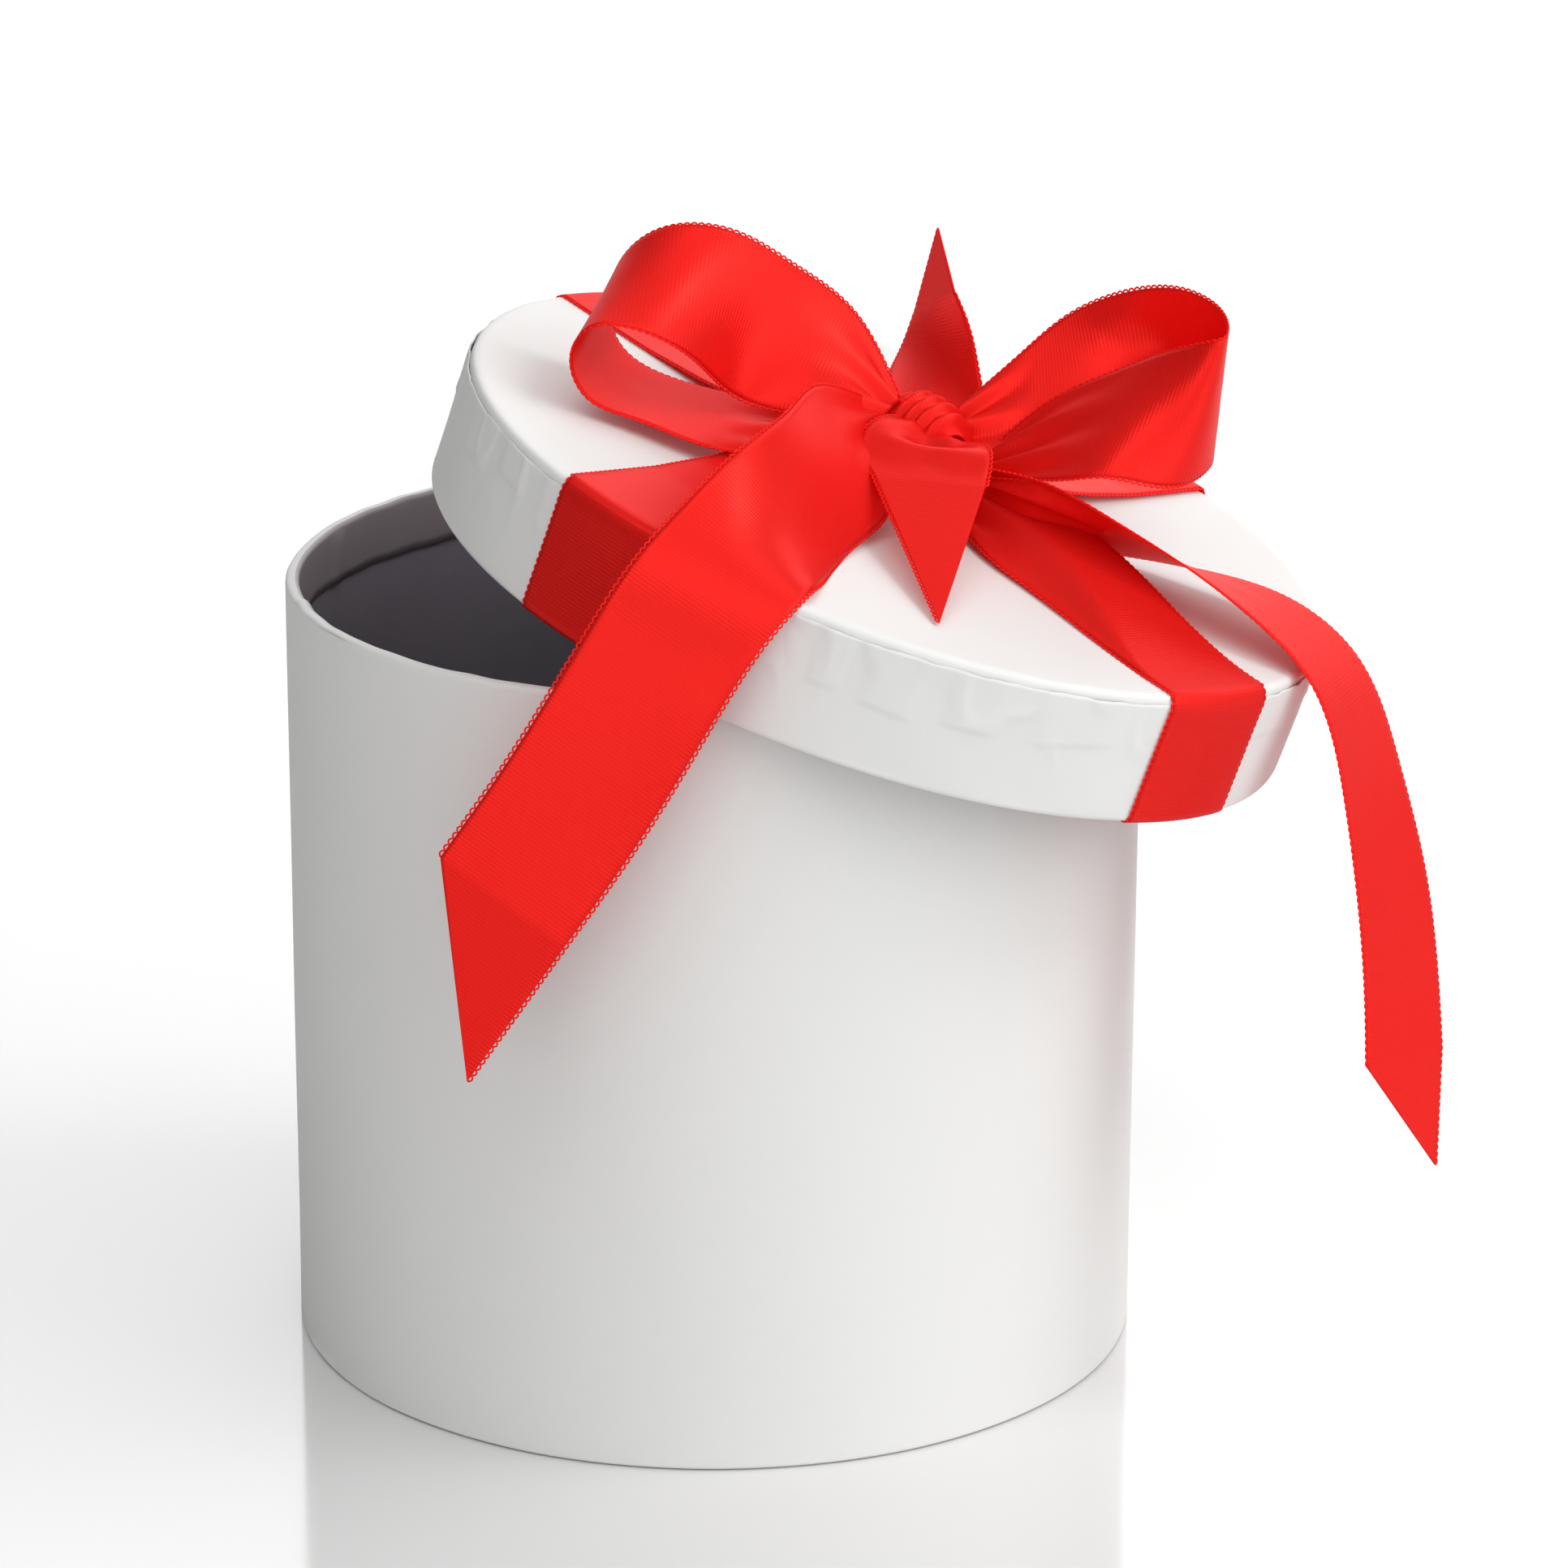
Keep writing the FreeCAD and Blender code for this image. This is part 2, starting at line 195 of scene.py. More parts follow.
def satin_material(name, lightness=1.0):
    """Red satin: ribs of the weft across it, fine streaks of the warp along it, firm selvedges.

    Its UV is in millimetres, across and along the ribbon.
    """
    nodes = Nodes(name)
    across_along = nodes.add("ShaderNodeSeparateXYZ")
    nodes.feed(across_along.inputs[0], nodes.add("ShaderNodeTexCoord").outputs["UV"])
    across, along = across_along.outputs[0], across_along.outputs[1]
    weft = nodes.math("SINE", nodes.math("MULTIPLY", along, 2 * math.pi / WEFT_PITCH))
    warp = nodes.noise(nodes.coords("UV", (6.0, 0.35, 1)), scale=1.0, detail=3)
    cloud = nodes.noise(nodes.coords("UV", (0.12, 0.05, 1)), scale=1.0, detail=2)
    from_edge = nodes.math("SUBTRACT", RIBBON_WIDTH / 2, nodes.math("ABSOLUTE", across))
    selvedge = nodes.math("LESS_THAN", from_edge, FIRM_EDGE)
    height = nodes.math("MULTIPLY_ADD", weft, 0.35, warp)
    firmer = nodes.math("MULTIPLY", selvedge, nodes.math("MULTIPLY", weft, 0.5))
    height = nodes.math("ADD", height, firmer)
    # a lightness above 1 makes a lighter copy of the satin, a painted highlight
    red = tuple(value * lightness for value in SATIN_RED)
    deep = tuple(value * lightness for value in SATIN_DEEP)
    colour = nodes.mix(nodes.math("MULTIPLY", warp, 0.55), (*red, 1), (*deep, 1))
    colour = nodes.mix(nodes.math("MULTIPLY", cloud, 0.25), colour, (*deep, 1))
    shader = nodes.add("ShaderNodeBsdfPrincipled")
    nodes.feed(shader.inputs["Base Color"], colour)
    nodes.feed(shader.inputs["Roughness"], nodes.math("MULTIPLY_ADD", warp, 0.12, 0.24))
    nodes.feed(shader.inputs["Normal"], nodes.bump(height, 0.05 * MM, 0.5))
    shader.inputs["Metallic"].default_value = 0.42
    shader.inputs["Specular IOR Level"].default_value = 0.25
    shader.inputs["Specular Tint"].default_value = SATIN_GLINT
    shader.inputs["Anisotropic"].default_value = 0.7
    tangent = nodes.add("ShaderNodeTangent", direction_type="UV_MAP")
    nodes.feed(shader.inputs["Tangent"], tangent.outputs[0])
    through = nodes.add("ShaderNodeBsdfTranslucent")
    nodes.feed(through.inputs["Color"], colour)
    both = nodes.add("ShaderNodeMixShader")
    both.inputs[0].default_value = SHOW_THROUGH
    nodes.feed(both.inputs[1], shader.outputs[0])
    nodes.feed(both.inputs[2], through.outputs[0])
    return nodes.finish(both.outputs[0])


PAPER_TONE = (0.70, 0.70, 0.688)
# painted shade: the darker, lilac-grey tone of the paper turned in inside the box's rim, varied at
# random between these two
INSIDE_SHADE = (0.46, 0.40, 0.42, 1)
INSIDE_SHADE_DEEP = (0.34, 0.29, 0.31, 1)


def paper_material(name, tone=PAPER_TONE, grain=0.5, unshaded_beyond=None):
    """White cover paper: a faint grain, soft clouds of tone, and light handling marks in its gloss.

    Nearer to the Z axis than its last argument, in mm, the turned-in paper is darker and
    lilac-grey: painted shade inside the box.
    """
    nodes = Nodes(name)
    place = nodes.coords("Object")
    cloud = nodes.noise(place, scale=35, detail=3)
    fibre = nodes.noise(place, scale=2600, detail=4, roughness=0.65)
    fleck = nodes.noise(place, scale=900, detail=2)
    dull = tuple(value * 0.965 for value in tone)
    warm = (tone[0] * 0.985, tone[1] * 0.975, tone[2] * 0.95)
    colour = nodes.mix(nodes.math("MULTIPLY", cloud, 0.5), (*tone, 1), (*dull, 1))
    colour = nodes.mix(nodes.fade_in(fleck, 0.62, 0.8, 0.5), colour, (*warm, 1))
    # painted shade: nearer the axis, inside the box's rim, the paper takes the darker tone
    if unshaded_beyond:
        reach = nodes.add("ShaderNodeVectorMath", operation="LENGTH")
        nodes.feed(reach.inputs[0], nodes.coords("Object", (1, 1, 0)))
        in_shade = nodes.math("LESS_THAN", reach.outputs["Value"], unshaded_beyond * MM)
        shade_colour = nodes.mix(cloud, INSIDE_SHADE, INSIDE_SHADE_DEEP)
        colour = nodes.mix(in_shade, colour, shade_colour)
    shader = nodes.add("ShaderNodeBsdfPrincipled")
    nodes.feed(shader.inputs["Base Color"], colour)
    nodes.feed(shader.inputs["Roughness"], nodes.math("MULTIPLY_ADD", cloud, 0.16, 0.42))
    soft = nodes.bump(cloud, 0.10 * MM, 0.35)
    nodes.feed(shader.inputs["Normal"], nodes.bump(fibre, 0.03 * MM, grain, soft))
    shader.inputs["Specular IOR Level"].default_value = 0.4
    return nodes.finish(shader.outputs[0])


def board_material(name, tone, deep):
    """Uncovered greyboard: mottled pulp with darker and lighter fibres."""
    nodes = Nodes(name)
    place = nodes.coords("Object")
    cloud = nodes.noise(place, scale=60, detail=4, roughness=0.6)
    fibre = nodes.noise(nodes.coords("Object", (1, 1, 3)), scale=1400, detail=5, roughness=0.7)
    light = (tone[0] * 1.35, tone[1] * 1.3, tone[2] * 1.25, 1)
    colour = nodes.mix(cloud, (*tone, 1), (*deep, 1))
    colour = nodes.mix(nodes.fade_in(fibre, 0.55, 0.75, 0.45), colour, light)
    shader = nodes.add("ShaderNodeBsdfPrincipled")
    nodes.feed(shader.inputs["Base Color"], colour)
    nodes.feed(shader.inputs["Roughness"], nodes.math("MULTIPLY_ADD", fibre, 0.2, 0.7))
    nodes.feed(shader.inputs["Normal"], nodes.bump(fibre, 0.08 * MM, 0.6))
    shader.inputs["Specular IOR Level"].default_value = 0.25
    return nodes.finish(shader.outputs[0])


def floor_material():
    """A pale glossy table that the box is mirrored in."""
    nodes = Nodes("floor_gloss")
    cloud = nodes.noise(nodes.coords("Object"), scale=3, detail=2)
    colour = nodes.mix(cloud, (0.74, 0.74, 0.74, 1), (0.72, 0.72, 0.72, 1))
    shader = nodes.add("ShaderNodeBsdfPrincipled")
    nodes.feed(shader.inputs["Base Color"], colour)
    shader.inputs["Roughness"].default_value = 0.1
    shader.inputs["IOR"].default_value = 2.3
    return nodes.finish(shader.outputs[0])


SATIN = satin_material("satin_red")
# painted highlight: the selvedge loops' satin is a tenth lighter, for the light the little loops
# catch
SATIN_EDGE_LIT = satin_material("satin_red_edge_lit", lightness=1.1)
PAPER_WHITE = paper_material("paper_white")
# its turn-in inside the rim gets painted shade
PAPER_COVER = paper_material("paper_cover", unshaded_beyond=BOX_RADIUS - 1.8)
# painted shade: the white paper of the liners inside the box and the lid, given a dark grey tone
# for the shade in there
PAPER_SHADED = paper_material("paper_painted_shade", (0.46, 0.44, 0.44), grain=0.7)
BOARD_INSIDE = board_material("greyboard_inside", (0.36, 0.325, 0.375), (0.28, 0.255, 0.30))
BOARD_BASE = board_material("greyboard_base", (0.42, 0.39, 0.37), (0.33, 0.31, 0.30))


# --- meshes ------------------------------------------------------------------------------------


def new_object(name, verts, faces, uv, material, smooth=True):
    """A mesh object from arrays; uv holds one pair for each vertex."""
    mesh = bpy.data.meshes.new(name)
    mesh.from_pydata([tuple(v) for v in verts], [], [tuple(f) for f in faces])
    layer = mesh.uv_layers.new(name="UVMap")
    corner = np.zeros(len(mesh.loops), int)
    mesh.loops.foreach_get("vertex_index", corner)
    layer.data.foreach_set("uv", np.asarray(uv, float)[corner].ravel())
    mesh.polygons.foreach_set("use_smooth", [smooth] * len(mesh.polygons))
    mesh.materials.append(material)
    mesh.update()
    piece = bpy.data.objects.new(name, mesh)
    bpy.context.scene.collection.objects.link(piece)
    return piece


def grid_faces(rows, columns, offset, flip, wrap):
    """Quads of a grid whose vertices run along each row; wrap joins its last row to its first."""
    row = np.arange(rows if wrap else rows - 1)
    column = np.arange(columns - 1)
    first = (row[:, None] * columns + column[None, :]).ravel()
    second = (((row + 1) % rows)[:, None] * columns + column[None, :]).ravel()
    faces = np.stack([first, first + 1, second + 1, second], 1) + offset
    return faces[:, ::-1] if flip else faces


def grid_normals(grid, wrap=False):
    if wrap:
        along = np.roll(grid, -1, 0) - np.roll(grid, 1, 0)
    else:
        along = np.gradient(grid, axis=0)
    across = np.gradient(grid, axis=1)
    return unit(np.cross(across, along))


def thick_sheet(name, grid, uv, thickness, material, wrap=False):
    """A closed thin body whose middle is the grid, in metres, with uv for each point, in mm."""
    rows, columns = grid.shape[:2]
    half = grid_normals(grid, wrap) * (thickness / 2)
    top = (grid + half).reshape(-1, 3)
    under = (grid - half).reshape(-1, 3)
    count = rows * columns
    faces = [grid_faces(rows, columns, 0, False, wrap),
             grid_faces(rows, columns, count, True, wrap)]
    line = np.arange(rows if wrap else rows - 1)
    following = (line + 1) % rows
    for column, flip in ((0, False), (columns - 1, True)):
        near, far = line * columns + column, following * columns + column
        side = np.stack([near, far, far + count, near + count], 1)
        faces.append(side[:, ::-1] if flip else side)
    if not wrap:
        for row, flip in ((0, True), (rows - 1, False)):
            place = row * columns + np.arange(columns - 1)
            end = np.stack([place, place + 1, place + 1 + count, place + count], 1)
            faces.append(end[:, ::-1] if flip else end)
    all_uv = np.concatenate([uv.reshape(-1, 2)] * 2)
    verts = np.concatenate([top, under])
    return new_object(name, verts, np.concatenate(faces), all_uv, material)


def natural_spline(points, spacing, places):
    """Values of the smooth curve through points, at the given places."""
    points = np.asarray(points, float)
    count = len(points)
    step = np.diff(spacing)
    system = np.eye(count)
    right = np.zeros_like(points)
    for i in range(1, count - 1):
        system[i, i - 1] = step[i - 1]
        system[i, i] = 2 * (step[i - 1] + step[i])
        system[i, i + 1] = step[i]
        slope_before = (points[i] - points[i - 1]) / step[i - 1]
        slope_after = (points[i + 1] - points[i]) / step[i]
        right[i] = 6 * (slope_after - slope_before)
    curve = np.linalg.solve(system, right)
    span = np.clip(np.searchsorted(spacing, places, side="right") - 1, 0, count - 2)
    ahead = (spacing[span + 1] - places)[:, None]
    behind = (places - spacing[span])[:, None]
    width = step[span][:, None]
    return (curve[span] * ahead ** 3 / (6 * width)
            + curve[span + 1] * behind ** 3 / (6 * width)
            + (points[span] / width - curve[span] * width / 6) * ahead
            + (points[span + 1] / width - curve[span + 1] * width / 6) * behind)


# --- ribbon ------------------------------------------------------------------------------------


def selvedge_thread(name, edge, outward):
    """The row of tiny loops along a woven edge: one thin thread that bows out and back, in mm."""
    PITCH, REACH, RADIUS = 1.25, 0.45, 0.18
    PER_LOOP, SIDES = 6, 5
    travel = travelled(edge)
    loops = max(2, int(round(travel[-1] / PITCH)))
    places = np.linspace(0, travel[-1], loops * PER_LOOP + 1)
    out = unit(resampled(outward, travel, places))
    bow = np.abs(np.sin(np.arange(len(places)) * math.pi / PER_LOOP)) ** 0.8
    line = resampled(edge, travel, places) + out * (bow * REACH)[:, None]
    along = unit(np.gradient(line, axis=0))
    up = unit(np.cross(along, out))
    side = np.cross(up, along)
    turn = np.arange(SIDES) * 2 * math.pi / SIDES
    ring = side[:, None] * np.cos(turn)[None, :, None] + up[:, None] * np.sin(turn)[None, :, None]
    tube = line[:, None] + ring * RADIUS
    rows = len(line)
    start = np.arange(rows - 1) * SIDES
    faces = []
    for k in range(SIDES):
        after = (k + 1) % SIDES
        quad = [start + k, start + after, start + SIDES + after, start + SIDES + k]
        faces.append(np.stack(quad, 1))
    faces = [tuple(f) for f in np.concatenate(faces)]
    faces.append(tuple(range(SIDES))[::-1])
    faces.append(tuple((rows - 1) * SIDES + k for k in range(SIDES)))
    uv = np.repeat(np.stack([np.zeros(rows), places], 1), SIDES, 0)
    # the loops take the lighter satin: a painted highlight
    return new_object(name, from_lid(tube.reshape(-1, 3)), faces, uv, SATIN_EDGE_LIT)


def satin_strip(name, grid, uv, first_rows, second_rows):
    """A ribbon on the grid, in lid-top mm, with a thread on each selvedge for that many rows."""
    piece = thick_sheet(name, from_lid(grid), uv, RIBBON_THICK * MM, SATIN)
    for side, inner, label, rows in ((0, 1, "a", first_rows), (-1, -2, "b", second_rows)):
        edge = grid[:rows, side]
        outward = unit(edge - grid[:rows, inner])
        thread = selvedge_thread(name + "_selvedge_" + label, edge, outward)
        thread.parent = piece
    return piece


def declare(piece, node, length, held, rests_on, area=None):
    """A ribbon rides on the lid and stands for its CAD solids, which are hidden. length is not
    used.
    """
    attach(piece, "lid")
    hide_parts(*node)
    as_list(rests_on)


ACROSS = 33
ROW_STEP = 0.8
TIP_END = 0.995
FOLD_EASE = 12.0


def slanting_end(grid, first, second, middle, length, point):
    """The grid and uv of a ribbon's end that narrows to a point from the grid's last row."""
    run = max(np.linalg.norm(point - first[-1]), np.linalg.norm(point - second[-1]))
    rest = np.linspace(0, 1, max(4, int(run / ROW_STEP)))[1:]
    rest[-1] = TIP_END
    end = grid[-1][None] * (1 - rest)[:, None, None] + point * rest[:, None, None]
    side = unit(second[-1] - first[-1])
    ahead = unit(middle[-1] - middle[-2])
    ahead = unit(ahead - side * (ahead @ side))
    off = end - middle[-1]
    return end, np.stack([off @ side, length + off @ ahead], 2)


def ribbon(name, stations, tip=None, tip_side=0, pleats=2.5, pleat_height=2.0, folds=()):
    """A satin ribbon through stations (centre, direction across, width) in lid-top mm.

    Where it is narrower than the ribbon's real width it is gathered, so pleats take up the rest.
    tip is the point of a slanting cut, and tip_side says which selvedge runs on to it: -1 the
    first, 1 the second. folds are soft ridges: (place across, spread, height, start, end), with
    start and end in mm along the ribbon. Also gives its length, and its area where it has a tip.
    """
    centres = np.array([centre for centre, _, _ in stations], float)
    halves = unit(np.array([across for _, across, _ in stations], float))
    halves = halves * (np.array([width for _, _, width in stations], float) / 2)[:, None]
    spacing = travelled(centres)
    places = np.linspace(0, spacing[-1], max(8, int(spacing[-1] / ROW_STEP)))
    first = natural_spline(centres - halves, spacing, places)
    second = natural_spline(centres + halves, spacing, places)
    middle = (first + second) / 2
    share = np.linspace(0, 1, ACROSS)
    arch = 4 * share * (1 - share)
    grid = first[:, None] + (second - first)[:, None] * share[None, :, None]
    along = travelled(middle)
    across = (share - 0.5) * RIBBON_WIDTH
    uv = np.stack(np.broadcast_arrays(across[None, :], along[:, None]), 2)
    if tip is not None:
        end, end_uv = slanting_end(grid, first, second, middle, along[-1], np.array(tip, float))
        grid = np.concatenate([grid, end])
        uv = np.concatenate([uv, end_uv])
    row_along = uv[:, ACROSS // 2, 1]
    uncut = row_along[len(places) - 1]
    width = np.linalg.norm(grid[:, -1] - grid[:, 0], axis=1)
    gathered = np.clip(1 - width / RIBBON_WIDTH, 0, 1)
    if tip is not None:
        gathered = gathered * (1 - smoothstep(uncut - 10, uncut - 2, row_along))
    wave = np.cos(2 * math.pi * pleats * (share - 0.5)) * arch ** 0.5
    height = (gathered ** 0.8 * pleat_height)[:, None] * wave[None, :]
    for place, spread, rise, start, end in folds:
        ease = min(FOLD_EASE, (end - start) / 2)
        window = smoothstep(start, start + ease, row_along)
        window = window * (1 - smoothstep(end - ease, end, row_along))
        ridge = np.exp(-(((2 * share - 1 - place) / spread) ** 2))
        height = height + rise * window[:, None] * ridge[None, :]
    grid = grid + grid_normals(grid) * height[..., None]
    first_rows = len(grid) if tip_side == -1 else len(places)
    second_rows = len(grid) if tip_side == 1 else len(places)
    piece = satin_strip(name, grid, uv, first_rows, second_rows)
    full = uv[..., 1].max()
    return piece, full, RIBBON_WIDTH * (uncut + full) / 2 if tip else None


# --- the bow -----------------------------------------------------------------------------------

WIDE = RIBBON_WIDTH

BOW = [
    {"name": "ribbon_loop_left", "node": "bow_loop_left", "held": "gathered",
     "rests_on": ["lid_top_paper"],
     "stations": [
         ((-6, -2, 13), (-0.1, -1, -0.1), 10),
         ((-18, -3, 17), (0, -0.8, -0.6), 23),
         ((-30, -6, 19), (0, -0.5, -0.85), WIDE),
         ((-41, -14, 24), (0.2, -0.65, -0.75), WIDE),
         ((-50, -18, 24), (0.25, -0.85, -0.45), WIDE),
         ((-57, -18, 19), (0.1, -0.97, -0.2), WIDE),
         ((-58, -17, 11), (0, -1, -0.12), WIDE),
         ((-53, -16, 4.6), (0, -1, -0.09), WIDE),
         ((-44, -15, 3.3), (0, -1, -0.04), WIDE),
         ((-32, -15, 4.0), (0.1, -1, -0.08), WIDE),
         ((-20, -11, 6), (0.2, -0.96, -0.1), 18),
         ((-8, -6, 9), (0, -1, -0.1), 9),
     ]},
    {"name": "ribbon_loop_right", "node": "bow_loop_right", "held": "gathered",
     "rests_on": ["tie_knot"],
     "stations": [
         ((5, 4, 12), (0.2, -0.8, -0.5), 9),
         ((14, 7, 18.5), (0.3, -0.75, -0.55), 23),
         ((25, 14, 29), (0.5, -0.6, -0.6), WIDE),
         ((36, 16, 35), (0.4, 0.1, -0.9), WIDE),
         ((43, 9, 36), (0.25, 0.1, -0.96), WIDE),
         ((46, -2, 35.5), (0.2, 0.18, -0.96), WIDE),
         ((42.8, -10, 33.9), (0.1, -0.22, -0.95), WIDE),
         ((35, -11, 31), (0, -0.65, -0.75), WIDE),
         ((28, -8, 25.5), (0, -0.78, -0.62), 24),
         ((20, -4, 18), (0.15, -0.85, -0.5), 18),
         ((13, -3, 10), (0.3, -0.95, -0.1), 9),
     ]},
    {"name": "ribbon_tail_front", "node": "bow_tail_front", "held": "hung",
     "rests_on": ["lid_top_paper"],
     "stations": [
         ((-6, -4, 10.5), (0.4, -0.85, -0.3), 10),
         ((-8, -24, 11), (0.75, -0.2, -0.6), 24),
         ((-10, -44, 10), (0.7, 0, -0.7), WIDE),
         ((-13, -64, 7), (0.85, -0.05, -0.5), WIDE),
         ((-15, -73, 4), (0.96, -0.15, -0.22), WIDE),
         ((-18, -81, -3), (0.96, -0.12, -0.2), WIDE),
         ((-22, -88, -21), (0.96, -0.05, -0.23), WIDE),
         ((-26, -92, -41), (0.96, 0, -0.25), WIDE),
         ((-31, -95.5, -60), (0.96, 0, -0.27), WIDE),
     ],
     "shape": {"tip": (-26.5, -97, -91.5), "tip_side": 1}},
    {"name": "ribbon_tail_right", "node": "bow_tail_right", "held": "hung",
     "rests_on": ["lid_top_paper"],
     "stations": [
         ((13, -4, 7), (0, -0.6, 0.8), 9),
         ((23, -9, 7.8), (0, -0.6, 0.8), 16),
         ((38, -8, 7.9), (-0.05, -0.86, 0.49), WIDE),
         ((53, -6, 7.2), (-0.05, -0.96, 0.28), WIDE),
         ((67, -6, 5.6), (-0.1, -0.99, 0.08), WIDE),
         ((80.5, -7.6, 0.5), (-0.18, -0.98, 0), WIDE),
         ((94, -10, -15), (-0.26, -0.96, -0.05), WIDE),
         ((104, -12, -31), (-0.36, -0.93, -0.05), WIDE),
         ((113, -14, -49), (-0.43, -0.9, 0), WIDE),
         ((117, -16, -58), (-0.45, -0.89, 0), WIDE),
     ],
     "shape": {"tip": (129.5, -9, -77.5), "tip_side": -1}},
    {"name": "ribbon_tie_back", "node": "tie_end_back", "held": "gathered",
     "rests_on": ["tie_knot"],
     "stations": [
         ((0, 7, 10), (0.9, -0.35, 0.25), 14),
         ((-1, 15, 12.5), (0.85, -0.45, 0.3), 20),
         ((-3, 22, 15), (0.65, -0.65, 0.4), 24),
         ((-5.5, 29, 19), (0.45, -0.75, 0.5), WIDE),
         ((-8, 33, 23.5), (0.3, -0.82, 0.48), 23),
     ],
     "shape": {"tip": (-12.4, 39, 34.5), "tip_side": -1, "pleats": 1.5, "pleat_height": 1.0}},
    {"name": "ribbon_tie_front", "node": "tie_end_front", "held": "gathered",
     "rests_on": ["tie_knot", "lid_top_paper"],
     "stations": [
         ((1, -4.5, 12.5), (0.95, -0.1, -0.1), 9),
         ((2, -9.5, 14.3), (0.97, 0.05, 0.1), 17),
         ((2.6, -15.5, 13.8), (0.97, 0, 0.22), 22),
         ((3.8, -20, 12), (0.97, -0.03, 0.23), 22),
         ((6, -25, 10.8), (0.96, 0.08, 0.26), 19),
     ],
     "shape": {"tip": (18, -62, 0.6), "tip_side": -1, "pleats": 2.0, "pleat_height": 0.8,
               "folds": [(0.1, 0.55, 3.2, 1, 13)]}},
]

for part in BOW:
    piece, length, area = ribbon(part["name"], part["stations"], **part.get("shape", {}))
    declare(piece, [part["node"]], length, part["held"], part["rests_on"], area)


# --- the knot ----------------------------------------------------------------------------------

KNOT_SLEW = math.radians(38)
KNOT_PLACE = np.array([1.0, 0.0, 9.5])
KNOT_AXIS = np.array([math.cos(KNOT_SLEW), -math.sin(KNOT_SLEW), 0.0])
KNOT_BACK = np.array([math.sin(KNOT_SLEW), math.cos(KNOT_SLEW), 0.0])
KNOT_UP = np.array([0.0, 0.0, 1.0])


def around_knot(along, radius, turn):
    """Points in lid-top mm round the knot's axis, which is slewed to the front."""
    back = radius * np.cos(turn)[:, None]
    up = radius * np.sin(turn)[:, None]
    flat = along[..., None] * KNOT_AXIS + back[..., None] * KNOT_BACK
    return flat + KNOT_PLACE + up[..., None] * KNOT_UP


def knot():
    """The tie ribbon's turn round the middle of the bow: a gathered band with nested pleats."""
    ROUND, COLUMNS, HALF_LENGTH = 120, 61, 7.0
    PLEATS, PLEAT_HEIGHT = 5.0, 0.55
    EDGE_RADIUS, SHOULDER_RISE = 2.6, 4.4
    turn = np.arange(ROUND) * 2 * math.pi / ROUND
    share = np.linspace(-1, 1, COLUMNS)
    pleat = np.cos(share[None, :] * PLEATS * math.pi + 1.1 * np.sin(turn)[:, None] + 0.5)
    shoulder = np.sqrt(np.clip(1 - np.abs(0.97 * share) ** 2.6, 0, 1))
    radius = (EDGE_RADIUS + SHOULDER_RISE * shoulder)[None, :] + PLEAT_HEIGHT * pleat
    radius = radius * (1 + 0.05 * np.cos(3 * turn + 1))[:, None]
    along = share[None, :] * HALF_LENGTH * (1 + 0.06 * np.sin(2 * turn)[:, None])
    points = around_knot(along, radius, turn)
    around = turn * (EDGE_RADIUS + SHOULDER_RISE + 0.2)
    across = share * RIBBON_WIDTH / 2
    uv = np.stack(np.broadcast_arrays(across[None, :], around[:, None]), 2)
    return thick_sheet("ribbon_knot", from_lid(points), uv, RIBBON_THICK * MM, SATIN, wrap=True)


def bow_middle():
    """The bow's ribbon gathered where it runs through the knot: pleats, closed at both ends."""
    ROUND, COLUMNS, HALF_LENGTH = 72, 41, 9.0
    PLEATS, PLEAT_DEPTH = 7, 0.13
    END_RADIUS, BODY_RISE = 0.3, 3.0
    turn = np.arange(ROUND) * 2 * math.pi / ROUND
    share = np.linspace(-1, 1, COLUMNS)
    body = np.sqrt(np.clip(1 - np.abs(share) ** 5, 0, 1))
    pleat = 1 + PLEAT_DEPTH * np.cos(PLEATS * turn[:, None] + 0.8 * share[None, :])
    radius = END_RADIUS + (BODY_RISE * body)[None, :] * pleat
    along = share[None, :] * HALF_LENGTH + 0 * turn[:, None]
    around = turn * 4
    uv = np.stack(np.broadcast_arrays(around[:, None], along), 2)
    points = around_knot(along, radius, turn)
    return thick_sheet("ribbon_middle", from_lid(points), uv, RIBBON_THICK * MM, SATIN, wrap=True)


declare(knot(), ["tie_knot"], 45.0, "gathered", ["lid_top_paper"])
declare(bow_middle(), ["bow_centre"], 17.0, "gathered", ["tie_knot"])


# --- the straps --------------------------------------------------------------------------------

STRAP_ANGLES = (147.5, 61.5)
STRAP_STEP = 0.6
STRAP_CLEAR = 0.35
SKIRT_THICK = 1.9


